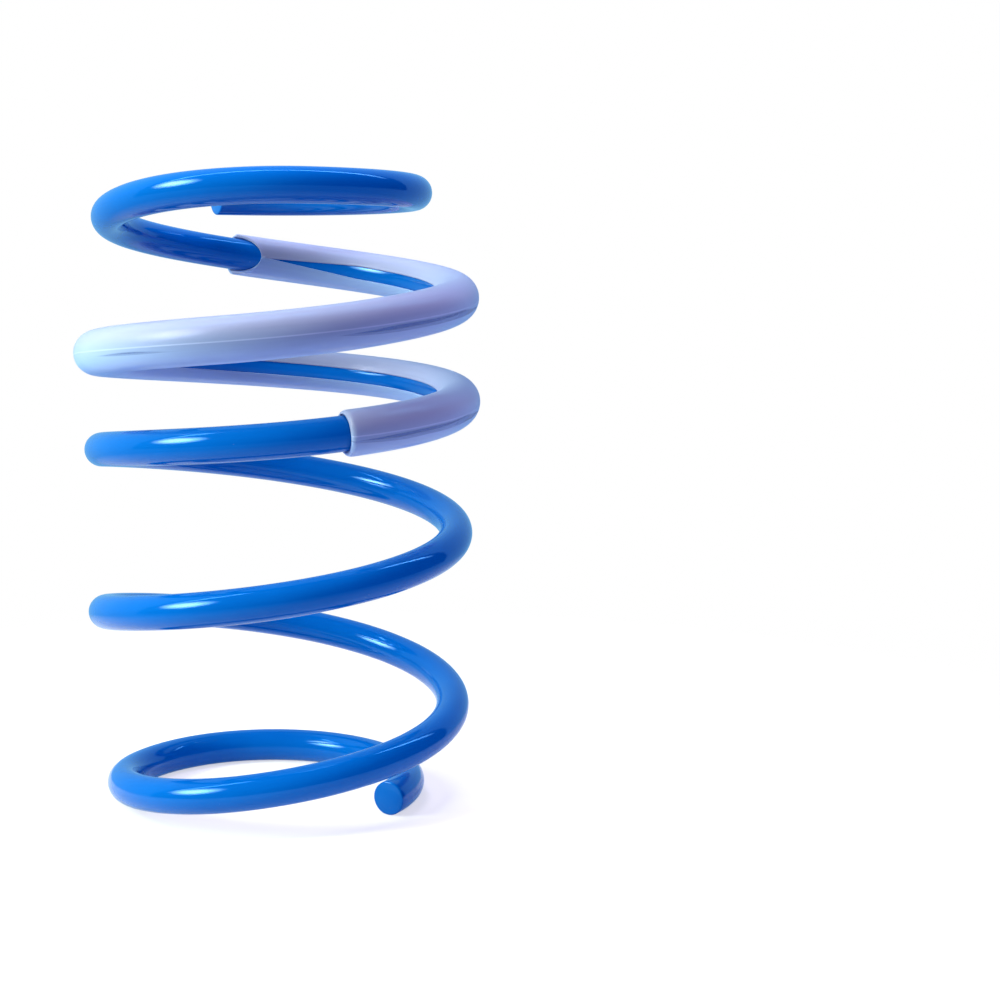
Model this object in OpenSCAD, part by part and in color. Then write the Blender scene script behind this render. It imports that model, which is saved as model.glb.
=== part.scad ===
// Suspension coil spring: one round steel wire wound right-handed, with two flat
// end coils that pull inwards, and a slit plastic sleeve on the close-pitched turns.
//
// The origin is on the spring's axis, on the surface that the lower seat coil rests on.
// Every place along the wire is an angle in degrees around the axis, seen from above:
// 0 is +X, 90 is +Y, and each full turn adds 360.

/* [Wire] */
// Diameter of the wire
wire_d = 13; // [10:0.5:15]
// Angle of the lower wire end
wire_start = -40; // [-60:5:-20]
// Angle of the upper wire end
wire_end = 1926; // [1890:6:1950]

/* [Coil radii, to the wire's centre] */
// Radius of the active turns
coil_r = 68; // [64:0.5:72]
// Radius of the lower seat coil
seat_r = 53; // [50:0.5:60]
// How far the lower seat coil sits off the spring's axis
seat_offset = 12.5; // [0:0.5:14]
// Direction that the lower seat coil is offset in
seat_offset_dir = 245; // [200:5:280]
// Angle by which the wire has grown from the seat coil to full radius
seat_taper_end = 450; // [400:10:500]
// Angle by which the seat coil's offset has died away
seat_offset_end = 360; // [300:10:420]
// Radius of the top coil
top_r = 53.5; // [50:0.5:60]
// How far the top coil sits off the spring's axis
top_offset = 5.5; // [0:0.5:8]
// Direction that the top coil is offset in
top_offset_dir = 245; // [200:5:280]
// Angle over which the wire shrinks to the top coil's radius
top_taper = 480; // [400:10:520]
// Angle over which the top coil's offset comes in
top_offset_taper = 560; // [480:10:600]
// Last stretch of the top coil, which keeps its radius
top_level = 36; // [20:2:60]

/* [Pitch, in mm of rise for each turn] */
// Pitch of the wide lower turns
coarse_pitch = 69.5; // [60:0.5:75]
// Pitch of the close turns in the sleeve
fine_pitch = 34.5; // [32:0.5:40]
// Pitch of the turn under the top coil
upper_pitch = 56.5; // [50:0.5:60]
// Angle where the flat seat coil ends
seat_flat_end = 155; // [120:5:180]
// Angle where the coarse pitch is reached
coarse_start = 265; // [240:5:300]
// Angle where the pitch starts to close up
coarse_end = 660; // [600:10:720]
// Angle where the fine pitch is reached
fine_start = 1100; // [1040:10:1140]
// Angle where the fine pitch ends
fine_end = 1340; // [1300:5:1350]
// Angle where the upper pitch is reached
upper_start = 1385; // [1370:5:1400]
// Angle where the upper pitch ends
upper_end = 1660; // [1620:5:1680]
// Angle where the flat top coil starts
top_flat_start = 1725; // [1700:5:1740]

/* [Lean of the lower active turns] */
// How much one side of those turns sits higher
lean = 2.25; // [0:0.25:3]
// Direction of the higher side
lean_dir = 153; // [0:1:359]
// Angle where the lean has died away
lean_end = 1180; // [1100:10:1260]
// Angle over which the lean comes and goes
lean_fade = 220; // [180:10:260]

/* [Sleeve] */
// Angle of the sleeve's lower end
sleeve_start = 1016; // [1000:2:1050]
// Angle of the sleeve's upper end
sleeve_end = 1554; // [1546:2:1576]
// Outer radius of the sleeve
sleeve_r = 8.5; // [8:0.1:9]
// Radius of the sleeve's bore
sleeve_bore_r = 7; // [6.9:0.1:7.2]
// How far the sleeve's outside stands outwards of the wire's centre
sleeve_out = 1.2; // [0.8:0.1:1.3]
// How far the sleeve's bore stands outwards of the wire's centre
bore_out = 0.3; // [0.2:0.1:0.4]
// Half the width of the open slit, as an angle at the bore
slit_half = 20; // [10:1:25]
// Angle over which the slit closes up towards the sleeve's upper end
slit_closing = 40; // [30:5:90]
// Angle over which the upper end is cut on a slant, from the closed slit to half-way across
mouth_len = 10; // [8:1:12]

/* [Hidden] */
wire_r = wire_d / 2;
full_turn = 360;
quarter = 90;
// Angles where the flat seat coil and the flat top coil are parted from the active turns
seat_parting = 2 * quarter;
top_parting = 19 * quarter;
active_quarters = (top_parting - seat_parting) / quarter;
// The quarters that the sleeve runs on
first_sleeved = floor((sleeve_start - seat_parting) / quarter);
last_sleeved = ceil((sleeve_end - seat_parting) / quarter) - 1;

// Angle between the rings that a length of wire is built from, and the wire's sides
ring_step = 10;
wire_sides = 16;
// Sides of the sleeve's outer arc, and of its bore
sleeve_sides = 16;
// Rings along the slanting cut
mouth_rings = 8;
// The closed slit keeps a hair's width, so that the sleeve stays a single C
slit_hair = 1;
// Angle to either side over which the wire's direction is taken
look = 0.5;

powder_blue = [0.03, 0.42, 0.87];
milky = [0.74, 0.80, 0.93];

SIDES = ["front_left", "front_right", "back_right", "back_left"];

function quarter_name(i) = str("turn_", 1 + floor(i / len(SIDES)), "_", SIDES[i % len(SIDES)]);
function sleeve_name(i) = str("sleeve_on_", quarter_name(i));

// 0 below 0, 1 above 1, and a smooth step between them
function smooth(u) = let (t = min(1, max(0, u))) t * t * (3 - 2 * t);

// Integral of a straight ramp that goes from 0 at angle a to 1 at angle b
function ramp_area(angle, a, b) =
    angle <= a ? 0 :
    angle >= b ? angle - (a + b) / 2 :
    pow(angle - a, 2) / (2 * (b - a));

// How much of the lower seat coil's and the top coil's shape the wire has at an angle
function seat_share(angle, end) = 1 - smooth(angle / end);
function top_share(angle, taper) = 1 - smooth((wire_end - top_level - angle) / taper);

// Distance of the wire's centre from the spring's axis
function radius_at(angle) =
    coil_r
    - (coil_r - seat_r) * seat_share(angle, seat_taper_end)
    - (coil_r - top_r) * top_share(angle, top_taper)
    + seat_offset * seat_share(angle, seat_offset_end) * cos(angle - seat_offset_dir)
    + top_offset * top_share(angle, top_offset_taper) * cos(angle - top_offset_dir);

// Height that the wire has climbed above the seat coil, from the pitch of each stretch
function climb(angle) = (
    coarse_pitch * ramp_area(angle, seat_flat_end, coarse_start)
    + (fine_pitch - coarse_pitch) * ramp_area(angle, coarse_end, fine_start)
    + (upper_pitch - fine_pitch) * ramp_area(angle, fine_end, upper_start)
    - upper_pitch * ramp_area(angle, upper_end, top_flat_start)
) / full_turn;

function lean_at(angle) =
    lean * cos(angle - lean_dir)
    * smooth((angle - seat_flat_end) / lean_fade)
    * smooth((lean_end - angle) / lean_fade);

function centre(angle) = let (r = radius_at(angle)) [
    r * cos(angle),
    r * sin(angle),
    wire_r + climb(angle) + lean_at(angle)
];

// Direction of the wire, scaled so that its level part has length 1
function heading(angle) =
    let (step = centre(angle + look) - centre(angle - look))
    step / norm([step.x, step.y]);

// A section given as [outwards, upwards] points, stood upright across the wire at an angle.
// It is stretched upwards by the wire's slope, so that the wire keeps its true diameter.
function ring(angle, section) =
    let (c = centre(angle), h = heading(angle), stretch = norm(h))
    [for (p = section) [c.x + p[0] * h.y, c.y - p[0] * h.x, c.z + p[1] * stretch]];

function wire_section() = [
    for (k = [0:wire_sides - 1]) let (a = k * full_turn / wire_sides) wire_r * [cos(a), sin(a)]
];

// Half the slit's width at an angle along the wire: open, then closing, then the slanting cut
function slit_at(angle) = let (left = sleeve_end - angle) max(
    slit_hair,
    left < mouth_len ? acos(left / mouth_len) : slit_half * min(1, (left - mouth_len) / slit_closing)
);

// An arc about a point that stands outwards of the wire's centre, from one lip to the other
function lip_arc(r, out, lip, way) = [
    for (k = [0:sleeve_sides]) let (a = way * lip * (2 * k / sleeve_sides - 1))
    [out + r * cos(a), r * sin(a)]
];

function sleeve_section(angle) = let (lip = 180 - slit_at(angle)) concat(
    lip_arc(sleeve_r, sleeve_out, lip, 1),
    lip_arc(sleeve_bore_r, bore_out, lip, -1)
);

// The flat end of a wire is one face. The flat end of a sleeve is a row of faces that run
// from its outside to its bore. Both are given as the indices of a ring's points.
wire_cap = [[for (k = [wire_sides - 1:-1:0]) k]];
sleeve_cap = [
    for (k = [0:sleeve_sides - 1])
    [k + 1, k, 2 * sleeve_sides + 1 - k, 2 * sleeve_sides - k]
];

// Joins rings of points into one closed solid, with the same cap at each end
module skin(rings, cap) {
    n = len(rings[0]);
    last = len(rings) - 1;
    sides = [
        for (j = [0:last - 1], k = [0:n - 1])
        let (a = j * n + k, b = j * n + (k + 1) % n)
        each [[a, b + n, a + n], [a, b, b + n]]
    ];
    far_cap = [for (face = cap) [for (k = [len(face) - 1:-1:0]) last * n + face[k]]];
    polyhedron(
        points = [for (r = rings) each r],
        faces = concat(sides, cap, far_cap),
        convexity = 6
    );
}

function steps_between(a, b) = let (n = ceil((b - a) / ring_step)) [
    for (i = [0:n]) a + (b - a) * i / n
];

module wire(a, b) {
    color(powder_blue)
    skin([for (angle = steps_between(a, b)) ring(angle, wire_section())], wire_cap);
}

// The rings that turn the closed slit into the slanting cut at the sleeve's upper end
function mouth_angles() = [
    for (i = [1:mouth_rings]) sleeve_end - mouth_len * cos(quarter * i / mouth_rings)
];

// The sleeve between two angles, or as much of it as lies there
module sleeve(a, b) {
    from = max(a, sleeve_start);
    to = min(b, sleeve_end - mouth_len);
    angles = concat(steps_between(from, to), b < sleeve_end ? [] : mouth_angles());
    color(milky)
    skin([for (angle = angles) ring(angle, sleeve_section(angle))], sleeve_cap);
}

// Flat lower coil, which the spring stands on
module seat_coil() {
    wire(wire_start, seat_parting);
}

// A quarter of an active turn
module active_quarter(i) {
    from = seat_parting + i * quarter;
    wire(from, from + quarter);
}

// Flat top coil, which the upper spring seat presses on
module top_coil() {
    wire(top_parting, wire_end);
}

// The length of sleeve on one quarter of an active turn
module sleeve_quarter(i) {
    from = seat_parting + i * quarter;
    sleeve(from, from + quarter);
}

seat_coil();
for (i = [0:active_quarters - 1])
    active_quarter(i);
top_coil();
for (i = [first_sleeved:last_sleeved])
    sleeve_quarter(i);
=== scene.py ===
"""Looks for a suspension coil spring: one wound steel wire under blue powder coat, and the
slit plastic sleeve pushed onto its close turns. Lengths are in metres, and places along the
wire are angles in degrees around the spring's axis, seen from above: 0 is +X and 90 is +Y."""

import math

import bpy
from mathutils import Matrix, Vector


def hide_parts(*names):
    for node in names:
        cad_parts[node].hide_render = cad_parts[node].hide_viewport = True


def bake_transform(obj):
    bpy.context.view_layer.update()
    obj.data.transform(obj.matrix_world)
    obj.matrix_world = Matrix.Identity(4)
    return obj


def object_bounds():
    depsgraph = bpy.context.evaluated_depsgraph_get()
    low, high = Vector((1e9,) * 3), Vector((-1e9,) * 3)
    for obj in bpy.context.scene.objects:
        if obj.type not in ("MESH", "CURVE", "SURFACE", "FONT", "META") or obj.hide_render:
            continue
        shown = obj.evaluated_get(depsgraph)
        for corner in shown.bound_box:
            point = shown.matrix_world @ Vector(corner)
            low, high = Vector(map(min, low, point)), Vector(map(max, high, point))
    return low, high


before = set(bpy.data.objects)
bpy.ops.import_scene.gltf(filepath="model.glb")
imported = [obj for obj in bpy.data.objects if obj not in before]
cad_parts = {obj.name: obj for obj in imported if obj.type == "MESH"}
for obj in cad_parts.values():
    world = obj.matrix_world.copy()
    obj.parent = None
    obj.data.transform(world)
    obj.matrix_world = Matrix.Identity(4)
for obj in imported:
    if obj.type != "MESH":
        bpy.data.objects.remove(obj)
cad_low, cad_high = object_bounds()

# ---------------------------------------------------------------- driving dimensions
MM = 0.001
FULL_TURN = 360.0

WIRE_R = 6.5 * MM
# The coat's surface lies a hair inside the wire's nominal size
COATED_R = WIRE_R - 0.005 * MM
WIRE_START = -40.0
WIRE_END = 1926.0

COIL_R = 68 * MM
SEAT_R = 53 * MM
SEAT_OFFSET = 12.5 * MM
SEAT_OFFSET_DIR = 245.0
SEAT_TAPER_END = 450.0
SEAT_OFFSET_END = 360.0
TOP_R = 53.5 * MM
TOP_OFFSET = 5.5 * MM
TOP_OFFSET_DIR = 245.0
TOP_TAPER = 480.0
TOP_OFFSET_TAPER = 560.0
TOP_LEVEL = 36.0

COARSE_PITCH = 69.5 * MM
FINE_PITCH = 34.5 * MM
UPPER_PITCH = 56.5 * MM
SEAT_FLAT_END = 155.0
COARSE_START = 265.0
COARSE_END = 660.0
FINE_START = 1100.0
FINE_END = 1340.0
UPPER_START = 1385.0
UPPER_END = 1660.0
TOP_FLAT_START = 1725.0

LEAN = 2.25 * MM
LEAN_DIR = 153.0
LEAN_END = 1180.0
LEAN_FADE = 220.0

SLEEVE_START = 1016.0
SLEEVE_END = 1554.0
SLEEVE_R = 8.45 * MM
BORE_R = 7.0 * MM
SLEEVE_OUT = 1.2 * MM
BORE_OUT = 0.3 * MM
SLIT_HALF = 22.5
SLIT_CLOSING = 40.0
MOUTH_LEN = 10.0
# The sleeve's wall thins to this share at its two ends, over this length
END_WALL = 0.35
END_LEN = 1.8 * MM
# Points around the wire, around the sleeve's wall, and around each lip of its slit
WIRE_SIDES = 40
WALL_STEPS = 60
LIP_STEPS = 5
# Angle between neighbouring rings, and between those where the slit closes
RING_STEP = 3.0
CLOSING_STEP = 2.0
# The mould seam on the sleeve's outside: where it runs, as an angle around the wire
SEAM_AT = -4.0
SEAM_WIDTH = 0.35 * MM
# The row of clearer patches in the sleeve's film, measured around the sleeve's outside
PATCH_AT = -2.6 * MM
PATCH_HALF = 1.5 * MM
# How far the row wavers up and down
PATCH_WAVE = 0.6 * MM
# How far along the sleeve the widest patch lies. It comes back every turn.
PATCH_FROM = 35 * MM

# The studio: how bright each part is, and where glossy surfaces see it, in degrees
FILL_LIGHT = 0.64
FILL_TINT = (0.60, 0.52, 1.0)
WALL_LIGHT = 0.85
WALL_TINT = (0.26, 0.62, 1.0)
DARK_LIGHT = 0.01
DARK_AZIMUTH = -75.0
DARK_EDGE = -0.20
STRIP_EDGE = -0.10
STRIP_LIGHT = 15.0
GLOW_LIGHT = 0.30
SOFTBOX_AZIMUTH = -154.0
SOFTBOX_ELEVATION = 32.0
SOFTBOX_LIGHT = 28.0
KEY_WATTS = 19.0
KEY_TINT = (0.88, 1.0, 0.77)
TOP_WATTS = 13.0
TOP_TINT = (0.95, 0.84, 1.0)

# The wire's share of the spring's travel grows evenly from 0 to 1 between these two
# angles, and stays level over the flat end coils beyond them
SEAT_PARTING = 180.0
TOP_PARTING = 1710.0


# ---------------------------------------------------------------- the wire's path
def smooth(u):
    t = min(1.0, max(0.0, u))
    return t * t * (3 - 2 * t)


def ramp_area(angle, a, b):
    """Integral of a straight ramp that goes from 0 at angle a to 1 at angle b."""
    if angle <= a:
        return 0.0
    if angle >= b:
        return angle - (a + b) / 2
    return (angle - a) ** 2 / (2 * (b - a))


def seat_share(angle, end):
    return 1 - smooth(angle / end)


def top_share(angle, taper):
    return 1 - smooth((WIRE_END - TOP_LEVEL - angle) / taper)


def cos_deg(angle):
    return math.cos(math.radians(angle))


def sin_deg(angle):
    return math.sin(math.radians(angle))


def radius_at(angle):
    """Distance of the wire's centre from the spring's axis."""
    r = COIL_R
    r -= (COIL_R - SEAT_R) * seat_share(angle, SEAT_TAPER_END)
    r -= (COIL_R - TOP_R) * top_share(angle, TOP_TAPER)
    r += SEAT_OFFSET * seat_share(angle, SEAT_OFFSET_END) * cos_deg(angle - SEAT_OFFSET_DIR)
    r += TOP_OFFSET * top_share(angle, TOP_OFFSET_TAPER) * cos_deg(angle - TOP_OFFSET_DIR)
    return r


def climb(angle):
    """Height of the wire above the seat coil, from the pitch of each stretch."""
    rise = COARSE_PITCH * ramp_area(angle, SEAT_FLAT_END, COARSE_START)
    rise += (FINE_PITCH - COARSE_PITCH) * ramp_area(angle, COARSE_END, FINE_START)
    rise += (UPPER_PITCH - FINE_PITCH) * ramp_area(angle, FINE_END, UPPER_START)
    rise -= UPPER_PITCH * ramp_area(angle, UPPER_END, TOP_FLAT_START)
    return rise / FULL_TURN


def lean_at(angle):
    coming = smooth((angle - SEAT_FLAT_END) / LEAN_FADE)
    going = smooth((LEAN_END - angle) / LEAN_FADE)
    return LEAN * cos_deg(angle - LEAN_DIR) * coming * going


def centre(angle):
    r = radius_at(angle)
    return Vector((r * cos_deg(angle), r * sin_deg(angle), WIRE_R + climb(angle) + lean_at(angle)))


def axes_at(angle, look=0.5):
    """The wire's centre, and its level outward and steep upward directions across it."""
    along = (centre(angle + look) - centre(angle - look)).normalized()
    outward = Vector((along.y, -along.x, 0)).normalized()
    return centre(angle), outward, outward.cross(along)


def share_at(angle):
    """How much of the spring's travel the wire at an angle takes part in."""
    return min(1.0, max(0.0, (angle - SEAT_PARTING) / (TOP_PARTING - SEAT_PARTING)))


# ---------------------------------------------------------------- swept pieces
def unsmooth(w):
    """The place along a smooth step from 0 to 1 where it has the value w."""
    return 0.5 - math.sin(math.asin(1 - 2 * w) / 3)


def wound_piece(name, rings, faces, shares, uvs):
    """A mesh wound from rings of points. It starts as a straight bar, whose length is the
    share of the spring's travel, and is then coiled."""
    points = [p for ring in rings for p in ring]
    bar = [(unsmooth(w), 0, 0) for w, ring in zip(shares, rings) for _ in ring]
    mesh = bpy.data.meshes.new(name)
    mesh.from_pydata(bar, [], faces)
    piece = bpy.data.objects.new(name, mesh)
    bpy.context.scene.collection.objects.link(piece)
    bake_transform(piece)
    mesh.vertices.foreach_set("co", [c for p in points for c in p])
    layer = mesh.uv_layers.new(name="along")
    for loop in mesh.loops:
        layer.data[loop.index].uv = uvs[loop.vertex_index]
    for polygon in mesh.polygons:
        polygon.use_smooth = True
    mesh.update()
    return piece


def tube_faces(rings, around):
    """Quads between neighbouring rings of the same number of points."""
    faces = []
    for j in range(rings - 1):
        for k in range(around):
            a = j * around + k
            b = j * around + (k + 1) % around
            faces.append((a, a + around, b + around, b))
    return faces


def arc_lengths(angles):
    """How far along the wire each angle is from the first."""
    total, lengths = 0.0, [0.0]
    for a, b in zip(angles, angles[1:]):
        total += (centre(b) - centre(a)).length
        lengths.append(total)
    return lengths


def spread(a, b, step):
    n = math.ceil((b - a) / step)
    return [a + (b - a) * i / n for i in range(n + 1)]


def rim_stations(end, inward):
    """Angles and radii of the rings that round a wire end's rim, from its foot to the face."""
    rim, steps = 0.6 * MM, 4
    turn = math.degrees(rim / radius_at(end)) * inward
    turns = [math.pi / 2 * i / steps for i in range(steps + 1)]
    return [(end + turn * (1 - math.sin(t)), COATED_R - rim * (1 - math.cos(t))) for t in turns]


def make_wire():
    """The wire, with a small rounded rim at each square-cut end."""
    start_rim = rim_stations(WIRE_START, 1)
    end_rim = rim_stations(WIRE_END, -1)
    middle_angles = spread(start_rim[0][0], end_rim[0][0], RING_STEP)[1:-1]
    stations = start_rim[::-1] + [(a, COATED_R) for a in middle_angles] + end_rim
    rings, uvs = [], []
    lengths = arc_lengths([angle for angle, _ in stations])
    for (angle, r), length in zip(stations, lengths):
        middle, outward, upward = axes_at(angle)
        ring = []
        for k in range(WIRE_SIDES):
            a = 2 * math.pi * k / WIRE_SIDES
            ring.append(middle + r * math.cos(a) * outward + r * math.sin(a) * upward)
            uvs.append((length, WIRE_R * a))
        rings.append(ring)
    faces = tube_faces(len(rings), WIRE_SIDES)
    last = (len(rings) - 1) * WIRE_SIDES
    faces.append(tuple(range(WIRE_SIDES)))
    faces.append(tuple(last + k for k in reversed(range(WIRE_SIDES))))
    shares = [share_at(angle) for angle, _ in stations]
    wire = wound_piece("spring_wire", rings, faces, shares, uvs)
    wires = [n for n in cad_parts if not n.startswith("sleeve")]
    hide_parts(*wires)
    wire.data.materials.append(powder_coat())
    return wire


def slit_at(angle):
    """Half the slit's width, as an angle: open, then closing, then the mouth at the end.
    The mouth is a slanting cut across the tube."""
    left = max(0.0, SLEEVE_END - angle)
    hair = 0.8
    if left < MOUTH_LEN:
        return max(hair, math.degrees(math.acos(left / MOUTH_LEN)))
    return max(hair, SLIT_HALF * min(1.0, (left - MOUTH_LEN) / SLIT_CLOSING))


def wall_at(angle):
    """How much of its thickness the sleeve's wall has: less at the worn, rounded ends."""
    from_end = min(angle - SLEEVE_START, SLEEVE_END - angle)
    u = min(1.0, COIL_R * math.radians(max(0.0, from_end)) / END_LEN)
    return END_WALL + (1 - END_WALL) * math.sqrt(1 - (1 - u) ** 2)


def round_point(out, r, a):
    """A point at angle a on a circle that stands outwards of the wire's centre."""
    return (out + r * cos_deg(a), r * sin_deg(a), a)


def lip(a, b):
    """A half round that closes the tube's wall at the slit, from point a to point b."""
    ax, ay, angle = a
    bx, by, _ = b
    mx, my = (ax + bx) / 2, (ay + by) / 2
    hx, hy = (ax - bx) / 2, (ay - by) / 2
    turns = [math.pi * i / (LIP_STEPS + 1) for i in range(1, LIP_STEPS + 1)]
    # both lips go round the same way, because the section is one loop
    return [
        (mx + hx * math.cos(t) - hy * math.sin(t), my + hy * math.cos(t) + hx * math.sin(t), angle)
        for t in turns
    ]


def sleeve_section(angle):
    """The C across the sleeve, as one loop: the outside, a lip, the bore and the other lip."""
    reach = 180 - slit_at(angle)
    wall = wall_at(angle)
    out = BORE_OUT + (SLEEVE_OUT - BORE_OUT) * wall
    r = BORE_R + (SLEEVE_R - BORE_R) * wall
    outside, bore = [], []
    for k in range(WALL_STEPS + 1):
        a = reach * (2 * k / WALL_STEPS - 1)
        outside.append(round_point(out, r, a))
        bore.append(round_point(BORE_OUT, BORE_R, -a))
    return outside + lip(outside[-1], bore[0]) + bore + lip(bore[-1], outside[0])


def make_sleeve():
    """The slit sleeve. Its lower end is cut square, and its upper end has a slanting mouth."""
    closing_start = SLEEVE_END - MOUTH_LEN - SLIT_CLOSING
    closed = SLEEVE_END - MOUTH_LEN
    mouth_steps = 20
    rounding_steps = 5
    rounding = math.degrees(END_LEN / COIL_R)
    angles = [SLEEVE_START + rounding * (i / rounding_steps) ** 2 for i in range(rounding_steps)]
    angles += spread(SLEEVE_START + rounding, closing_start, RING_STEP)
    angles += spread(closing_start, closed, CLOSING_STEP)[1:]
    for i in range(1, mouth_steps + 1):
        angles.append(SLEEVE_END - MOUTH_LEN * math.cos(math.pi / 2 * i / mouth_steps))
    rings, uvs = [], []
    for angle, length in zip(angles, arc_lengths(angles)):
        middle, outward, upward = axes_at(angle)
        section = sleeve_section(angle)
        rings.append([middle + x * outward + y * upward for x, y, _ in section])
        uvs += [(length, SLEEVE_R * math.radians(a)) for _, _, a in section]
    around = len(rings[0])
    faces = tube_faces(len(rings), around)
    faces += cut_ends(len(rings), around)
    sleeve = wound_piece("coil_sleeve", rings, faces, [share_at(a) for a in angles], uvs)
    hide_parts(*[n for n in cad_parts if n.startswith("sleeve")])
    sleeve.data.materials.append(milky_plastic())
    return sleeve


def cut_ends(rings, around):
    """The sleeve's two end faces: quads that join the outside of the C to its bore."""
    last = (rings - 1) * around
    bore_end = around - 1 - LIP_STEPS
    faces = []
    for k in range(WALL_STEPS):
        face = (k, k + 1, bore_end - k - 1, bore_end - k)
        faces.append(face)
        faces.append(tuple(last + i for i in reversed(face)))
    for first in (WALL_STEPS, around - 1 - LIP_STEPS):
        round_end = [(first + i) % around for i in range(LIP_STEPS + 2)]
        faces.append(tuple(round_end))
        faces.append(tuple(last + i for i in reversed(round_end)))
    return faces


# ---------------------------------------------------------------- material tools
def link(tree, a, b):
    tree.links.new(a, b)


def add(tree, kind, **values):
    """A node, with values set on its sockets by name, or on the node itself."""
    node = tree.nodes.new(kind)
    for name, value in values.items():
        socket = node.inputs.get(name.replace("_", " "))
        if socket is None:
            setattr(node, name, value)
        else:
            socket.default_value = value
    return node


def group_tree(name, inputs, outputs):
    """A shader node group with float inputs and outputs, and its two end nodes."""
    tree = bpy.data.node_groups.new(name, "ShaderNodeTree")
    for label, value in inputs:
        socket = tree.interface.new_socket(label, in_out="INPUT", socket_type="NodeSocketFloat")
        socket.default_value = value
    for label in outputs:
        tree.interface.new_socket(label, in_out="OUTPUT", socket_type="NodeSocketFloat")
    return tree, tree.nodes.new("NodeGroupInput"), tree.nodes.new("NodeGroupOutput")


def band(tree, source, low, high, to_low, to_high):
    """Maps a value from one range to another, held at both ends."""
    node = add(tree, "ShaderNodeMapRange", clamp=True)
    node.inputs["From Min"].default_value = low
    node.inputs["From Max"].default_value = high
    node.inputs["To Min"].default_value = to_low
    node.inputs["To Max"].default_value = to_high
    link(tree, source, node.inputs["Value"])
    return node.outputs["Result"]


def combined(tree, operation, a, b):
    """The outcome of a sum on two values. Each is a number, or a socket that gives one."""
    node = add(tree, "ShaderNodeMath", operation=operation)
    for socket, value in zip(node.inputs, (a, b)):
        if isinstance(value, float):
            socket.default_value = value
        else:
            link(tree, value, socket)
    return node.outputs[0]


def along_coordinates(tree, stretch):
    """Coordinates that run with the wound piece, in metres, shortened along its length."""
    uv = add(tree, "ShaderNodeUVMap", uv_map="along")
    scaled = add(tree, "ShaderNodeMapping")
    scaled.inputs["Scale"].default_value = (stretch, 1, 1)
    link(tree, uv.outputs["UV"], scaled.inputs["Vector"])
    return scaled.outputs["Vector"]


def handling_marks():
    """Faint rub marks and settled dust, the same kind on the paint and on the plastic."""
    tree, given, made = group_tree(
        "handling marks", [("Scale", 60.0), ("Amount", 0.5)], ["Rub", "Dust"]
    )
    place = add(tree, "ShaderNodeTexCoord")
    rub = add(tree, "ShaderNodeTexNoise", Detail=6.0, Roughness=0.65, Distortion=0.6)
    dust = add(tree, "ShaderNodeTexNoise", Scale=900.0, Detail=3.0, Roughness=0.7)
    link(tree, place.outputs["Object"], rub.inputs["Vector"])
    link(tree, place.outputs["Object"], dust.inputs["Vector"])
    link(tree, given.outputs["Scale"], rub.inputs["Scale"])
    rubbed = band(tree, rub.outputs["Fac"], 0.48, 0.78, 0.0, 1.0)
    specks = band(tree, dust.outputs["Fac"], 0.70, 0.78, 0.0, 1.0)
    amount = given.outputs["Amount"]
    link(tree, combined(tree, "MULTIPLY", rubbed, amount), made.inputs["Rub"])
    link(tree, combined(tree, "MULTIPLY", specks, amount), made.inputs["Dust"])
    return tree


def flow_lines():
    """Soft waviness in a surface: Peel is even in all directions, Lines runs lengthwise."""
    tree, given, made = group_tree(
        "flow lines", [("Peel Scale", 400.0), ("Line Scale", 500.0)], ["Peel", "Lines"]
    )
    place = add(tree, "ShaderNodeTexCoord")
    peel = add(tree, "ShaderNodeTexNoise", Detail=2.0, Roughness=0.4)
    link(tree, place.outputs["Object"], peel.inputs["Vector"])
    link(tree, given.outputs["Peel Scale"], peel.inputs["Scale"])
    lines = add(tree, "ShaderNodeTexNoise", Detail=4.0, Roughness=0.6)
    link(tree, along_coordinates(tree, 0.03), lines.inputs["Vector"])
    link(tree, given.outputs["Line Scale"], lines.inputs["Scale"])
    link(tree, peel.outputs["Fac"], made.inputs["Peel"])
    link(tree, lines.outputs["Fac"], made.inputs["Lines"])
    return tree


def use(tree, group, **values):
    """Places a node group in a material, with this material's own values."""
    node = tree.nodes.new("ShaderNodeGroup")
    node.node_tree = group
    for name, value in values.items():
        node.inputs[name.replace("_", " ")].default_value = value
    return node


def new_material(name):
    material = bpy.data.materials.new(name)
    material.use_nodes = True
    tree = material.node_tree
    return material, tree, tree.nodes["Principled BSDF"]


def mixed(tree, share, a, b):
    """A colour between a and b. Each is a colour, or a socket that gives one."""
    node = add(tree, "ShaderNodeMix", data_type="RGBA")
    for socket, value in ((node.inputs[6], a), (node.inputs[7], b)):
        if isinstance(value, tuple):
            socket.default_value = value + (1,)
        else:
            link(tree, value, socket)
    link(tree, share, node.inputs[0])
    return node.outputs[2]


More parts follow.
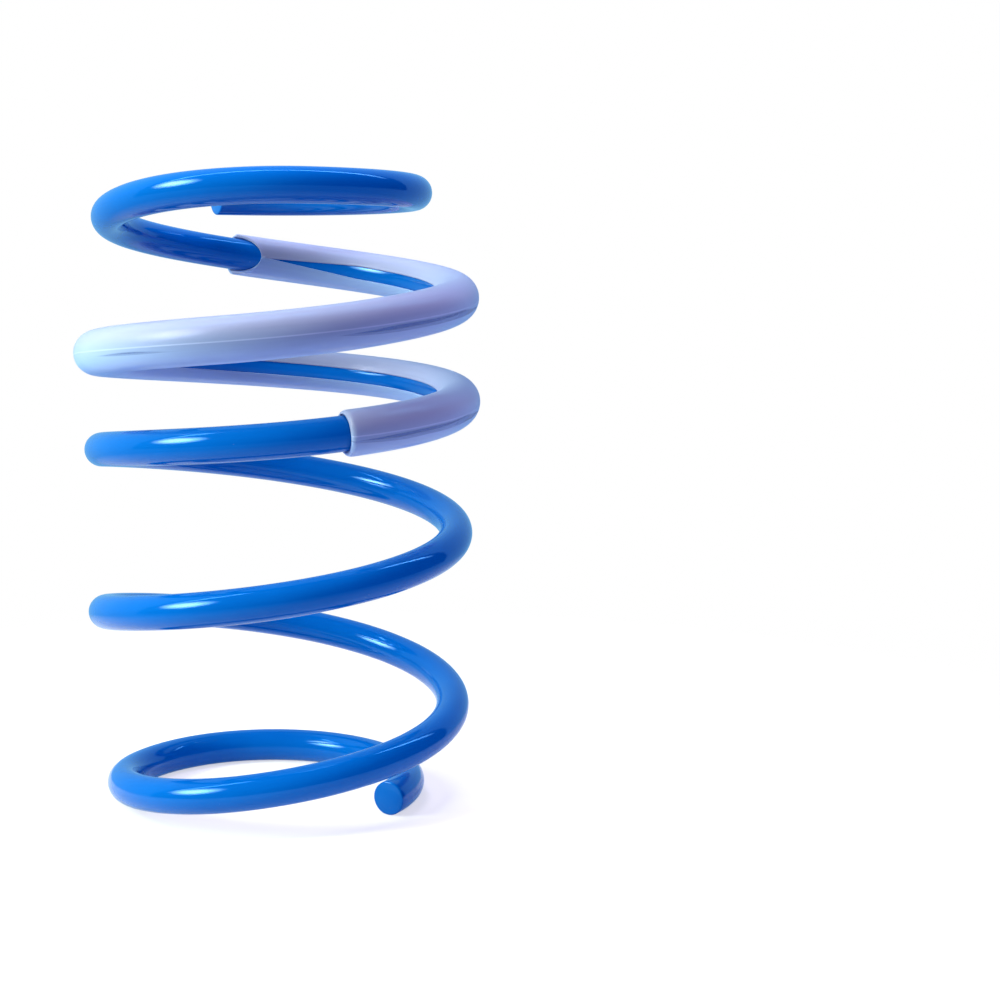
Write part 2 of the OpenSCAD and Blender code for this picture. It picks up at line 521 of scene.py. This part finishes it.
# ---------------------------------------------------------------- materials
def powder_coat():
    """Gloss blue powder coat: slight orange peel, uneven film, and faint rub marks."""
    material, tree, shader = new_material("blue powder coat")
    marks = use(tree, GROUPS["marks"], Scale=45.0, Amount=0.5)
    flow = use(tree, GROUPS["flow"], Peel_Scale=330.0, Line_Scale=260.0)
    film = add(tree, "ShaderNodeTexNoise", Scale=28.0, Detail=3.0, Roughness=0.5)
    place = add(tree, "ShaderNodeTexCoord")
    link(tree, place.outputs["Object"], film.inputs["Vector"])
    thick = band(tree, film.outputs["Fac"], 0.35, 0.65, 0.0, 1.0)
    body = mixed(tree, thick, (0.0, 0.107, 0.43), (0.0, 0.120, 0.47))
    dusty = mixed(tree, marks.outputs["Dust"], body, (0.14, 0.24, 0.47))
    link(tree, dusty, shader.inputs["Base Color"])
    rough = band(tree, marks.outputs["Rub"], 0.0, 0.5, 0.06, 0.13)
    link(tree, rough, shader.inputs["Roughness"])
    bump = add(tree, "ShaderNodeBump", Strength=0.08, Distance=0.0005)
    link(tree, flow.outputs["Peel"], bump.inputs["Height"])
    link(tree, bump.outputs["Normal"], shader.inputs["Normal"])
    shader.inputs["IOR"].default_value = 1.5
    shader.inputs["Specular Tint"].default_value = (0.0, 0.5, 1.0, 1)
    shader.inputs["Coat Weight"].default_value = 0.35
    shader.inputs["Coat Roughness"].default_value = 0.04
    return material


def mould_seam(tree, around):
    """A mask for the fine seam that runs along the outside of the sleeve."""
    away = combined(tree, "SUBTRACT", around, SLEEVE_R * math.radians(SEAM_AT))
    away = combined(tree, "ABSOLUTE", away, 0.0)
    return band(tree, away, SEAM_WIDTH * 0.3, SEAM_WIDTH, 1.0, 0.0)


def clear_patches(tree, along, around):
    """A mask for the long wavy patches where the film is thinner, so that the wire's
    colour shows through it. They run in a row just under the sleeve's outermost line."""
    row = add(tree, "ShaderNodeCombineXYZ")
    link(tree, along, row.inputs["X"])
    wide = add(tree, "ShaderNodeTexNoise", Scale=16.0, Detail=1.0, Roughness=0.5)
    wavy = add(tree, "ShaderNodeTexNoise", Scale=28.0, Detail=1.5, Roughness=0.5)
    link(tree, row.outputs[0], wide.inputs["Vector"])
    link(tree, row.outputs[0], wavy.inputs["Vector"])
    thin = band(tree, wide.outputs["Fac"], 0.50, 0.66, 0.0, PATCH_HALF * 0.6)
    turned = combined(tree, "DIVIDE", combined(tree, "SUBTRACT", along, PATCH_FROM), COIL_R)
    wave = combined(tree, "COSINE", turned, 0.0)
    half = band(tree, wave, 0.84, 0.97, 0.0, PATCH_HALF)
    half = combined(tree, "MAXIMUM", half, thin)
    middle = band(tree, wavy.outputs["Fac"], 0.25, 0.75, PATCH_AT - PATCH_WAVE, PATCH_AT + PATCH_WAVE)
    away = combined(tree, "SUBTRACT", around, middle)
    away = combined(tree, "ABSOLUTE", away, 0.0)
    away = combined(tree, "SUBTRACT", away, half)
    return band(tree, away, -0.5 * MM, 0.05 * MM, 1.0, 0.0)


def milky_plastic():
    """Translucent milky tube: clearer where it is seen square on and in a row of patches,
    with drawn-out streaks and a fine mould seam."""
    material, tree, shader = new_material("milky sleeve plastic")
    uv = add(tree, "ShaderNodeUVMap", uv_map="along")
    parts = add(tree, "ShaderNodeSeparateXYZ")
    link(tree, uv.outputs["UV"], parts.inputs[0])
    along = parts.outputs["X"]
    around = parts.outputs["Y"]
    marks = use(tree, GROUPS["marks"], Scale=70.0, Amount=0.12)
    flow = use(tree, GROUPS["flow"], Peel_Scale=55.0, Line_Scale=420.0)
    streaks = band(tree, flow.outputs["Lines"], 0.35, 0.68, 0.0, 1.0)
    seam = mould_seam(tree, around)
    patches = clear_patches(tree, along, around)
    # Painted light and shade: the top half of the sleeve gets a darker, greyer colour and its
    # underside a brighter blue, set to how the key and overhead lights fall on them.
    upper = band(tree, around, -5.0 * MM, 4.0 * MM, 0.0, 1.0)
    body = mixed(tree, upper, (0.39, 0.59, 0.87), (0.37, 0.43, 0.60))
    dusty = mixed(tree, marks.outputs["Dust"], body, (0.48, 0.60, 0.78))
    seamed = mixed(tree, combined(tree, "MULTIPLY", seam, 0.5), dusty, (0.56, 0.68, 0.90))
    link(tree, seamed, shader.inputs["Base Color"])
    facing = add(tree, "ShaderNodeLayerWeight", Blend=0.45)
    film = band(tree, facing.outputs["Facing"], 0.05, 0.70, 0.40, 0.92)
    film = combined(tree, "ADD", film, combined(tree, "MULTIPLY", streaks, 0.03))
    # Painted shading: the film is denser on the top half, standing in for the milky look that light
    # from above gives the plastic.
    film = combined(tree, "ADD", film, combined(tree, "MULTIPLY", upper, 0.14))
    film = combined(tree, "ADD", film, combined(tree, "MULTIPLY", seam, 0.14))
    film = combined(tree, "MULTIPLY", film, band(tree, patches, 0.0, 1.0, 1.0, 0.40))
    film = combined(tree, "MINIMUM", film, 0.96)
    link(tree, film, shader.inputs["Alpha"])
    rough = band(tree, marks.outputs["Rub"], 0.0, 0.3, 0.32, 0.42)
    link(tree, rough, shader.inputs["Roughness"])
    waves = combined(tree, "MULTIPLY", flow.outputs["Lines"], 0.08)
    waves = combined(tree, "ADD", waves, flow.outputs["Peel"])
    waves = combined(tree, "ADD", waves, combined(tree, "MULTIPLY", seam, 0.3))
    bump = add(tree, "ShaderNodeBump", Strength=0.25, Distance=0.0012)
    link(tree, waves, bump.inputs["Height"])
    link(tree, bump.outputs["Normal"], shader.inputs["Normal"])
    shader.inputs["IOR"].default_value = 1.5
    return material


def pale_floor():
    """White studio floor, which fades into the white background away from the spring."""
    material, tree, shader = new_material("studio floor")
    shader.inputs["Base Color"].default_value = (0.97, 0.98, 0.96, 1)
    shader.inputs["Roughness"].default_value = 0.7
    shader.inputs["Emission Color"].default_value = (1, 1, 1, 1)
    eye = add(tree, "ShaderNodeLightPath").outputs["Is Camera Ray"]
    link(tree, combined(tree, "MULTIPLY", eye, 0.3), shader.inputs["Emission Strength"])
    shader.inputs["Specular IOR Level"].default_value = 0.1
    place = add(tree, "ShaderNodeTexCoord")
    away = add(tree, "ShaderNodeVectorMath", operation="LENGTH")
    link(tree, place.outputs["Object"], away.inputs[0])
    link(tree, band(tree, away.outputs["Value"], 0.10, 0.40, 0.55, 0.0), shader.inputs["Alpha"])
    return material


# ---------------------------------------------------------------- studio
def make_camera():
    """The camera stands in front and a little to the right, and looks down slightly."""
    sensor, focal_share = 36.0, 1.8146
    camera = bpy.data.cameras.new("camera")
    camera.sensor_width = sensor
    camera.lens = sensor * focal_share
    camera.clip_start = 0.01
    seen = bpy.data.objects.new("camera", camera)
    seen.location = (0.0853, -0.7035, 0.1975)
    seen.rotation_euler = (math.pi / 2 - 0.1157, 0, 0)
    bpy.context.scene.collection.objects.link(seen)
    bpy.context.scene.camera = seen
    return seen


def area_light(name, place, aim, width, height, watts, tint):
    """A soft light that shades surfaces. What they mirror is the world's part."""
    lamp = bpy.data.lights.new(name, "AREA")
    lamp.shape = "RECTANGLE"
    lamp.size = width
    lamp.size_y = height
    lamp.energy = watts
    lamp.color = tint
    shown = bpy.data.objects.new(name, lamp)
    shown.location = place
    shown.rotation_euler = (Vector(aim) - Vector(place)).to_track_quat("-Z", "Y").to_euler()
    shown.visible_glossy = False
    shown.visible_camera = False
    bpy.context.scene.collection.objects.link(shown)
    return shown


def toward(tree, place, azimuth, elevation):
    """How far a direction in the world agrees with one given in degrees, from -1 to 1."""
    aim = add(tree, "ShaderNodeVectorMath", operation="DOT_PRODUCT")
    link(tree, place.outputs["Generated"], aim.inputs[0])
    level = cos_deg(elevation)
    aim.inputs[1].default_value = (
        level * cos_deg(azimuth),
        level * sin_deg(azimuth),
        sin_deg(elevation),
    )
    return aim.outputs["Value"]


def studio_walls(tree, place):
    """How bright the studio looks in a glossy surface: a dark room in front and overhead,
    with a strip light along its top edge, and lit walls and floor around it."""
    aim = toward(tree, place, DARK_AZIMUTH, 0)
    height = toward(tree, place, 0, 90)
    front = band(tree, aim, DARK_EDGE - 0.03, DARK_EDGE, 0.0, 1.0)
    over_floor = band(tree, height, -0.16, -0.04, 0.0, 1.0)
    dark = combined(tree, "MULTIPLY", front, over_floor)
    walls = band(tree, dark, 0.0, 1.0, WALL_LIGHT, DARK_LIGHT)
    strip = combined(tree, "ABSOLUTE", combined(tree, "SUBTRACT", aim, STRIP_EDGE), 0.0)
    strip = band(tree, strip, 0.02, 0.045, STRIP_LIGHT, 0.0)
    strip = combined(tree, "MULTIPLY", strip, band(tree, height, 0.55, 0.8, 0.0, 1.0))
    return combined(tree, "ADD", walls, strip)


def studio_softbox(tree, place):
    """The softbox in front on the left, brightest in its middle, with a wide glow round it."""
    aim = toward(tree, place, SOFTBOX_AZIMUTH, SOFTBOX_ELEVATION)
    glow = band(tree, aim, 0.0, 0.95, 0.0, GLOW_LIGHT)
    middle = combined(tree, "POWER", band(tree, aim, 0.95, 1.0, 0.0, 1.0), 1.8)
    middle = combined(tree, "MULTIPLY", middle, SOFTBOX_LIGHT)
    return glow, middle


def make_world():
    """White to the eye, an even fill for shading, and the studio in glossy surfaces."""
    world = bpy.data.worlds.new("studio")
    bpy.context.scene.world = world
    world.use_nodes = True
    tree = world.node_tree
    tree.nodes.clear()
    path = add(tree, "ShaderNodeLightPath")
    place = add(tree, "ShaderNodeTexCoord")
    glow, middle = studio_softbox(tree, place)
    cool = combined(tree, "ADD", studio_walls(tree, place), glow)
    walls = add(tree, "ShaderNodeBackground", Color=WALL_TINT + (1,))
    softbox = add(tree, "ShaderNodeBackground", Color=(1, 1, 1, 1))
    link(tree, cool, walls.inputs["Strength"])
    link(tree, middle, softbox.inputs["Strength"])
    mirror = add(tree, "ShaderNodeAddShader")
    link(tree, walls.outputs[0], mirror.inputs[0])
    link(tree, softbox.outputs[0], mirror.inputs[1])
    fill = add(tree, "ShaderNodeBackground", Color=FILL_TINT + (1,), Strength=FILL_LIGHT)
    backdrop = add(tree, "ShaderNodeBackground", Color=(1, 1, 1, 1), Strength=1.0)
    for_gloss = add(tree, "ShaderNodeMixShader")
    for_eye = add(tree, "ShaderNodeMixShader")
    out = add(tree, "ShaderNodeOutputWorld")
    link(tree, path.outputs["Is Glossy Ray"], for_gloss.inputs[0])
    link(tree, fill.outputs[0], for_gloss.inputs[1])
    link(tree, mirror.outputs[0], for_gloss.inputs[2])
    link(tree, path.outputs["Is Camera Ray"], for_eye.inputs[0])
    link(tree, for_gloss.outputs[0], for_eye.inputs[1])
    link(tree, backdrop.outputs[0], for_eye.inputs[2])
    link(tree, for_eye.outputs[0], out.inputs["Surface"])


def make_floor():
    reach = 0.45
    mesh = bpy.data.meshes.new("floor")
    corners = [(-reach, -reach, 0), (reach, -reach, 0), (reach, reach, 0), (-reach, reach, 0)]
    mesh.from_pydata(corners, [], [(0, 1, 2, 3)])
    floor = bpy.data.objects.new("floor", mesh)
    floor.location.z = cad_low.z
    bpy.context.scene.collection.objects.link(floor)
    mesh.materials.append(pale_floor())


def make_studio():
    make_world()
    make_floor()
    middle = (0, 0, cad_high.z / 2)
    area_light("key", (-0.90, -0.42, 0.55), middle, 0.5, 0.7, KEY_WATTS, KEY_TINT)
    area_light("top", (-0.10, 0.0, 1.2), middle, 0.8, 0.8, TOP_WATTS, TOP_TINT)
    bpy.context.scene.view_settings.view_transform = "Standard"


make_camera()
GROUPS = {"marks": handling_marks(), "flow": flow_lines()}
make_wire()
make_sleeve()
make_studio()
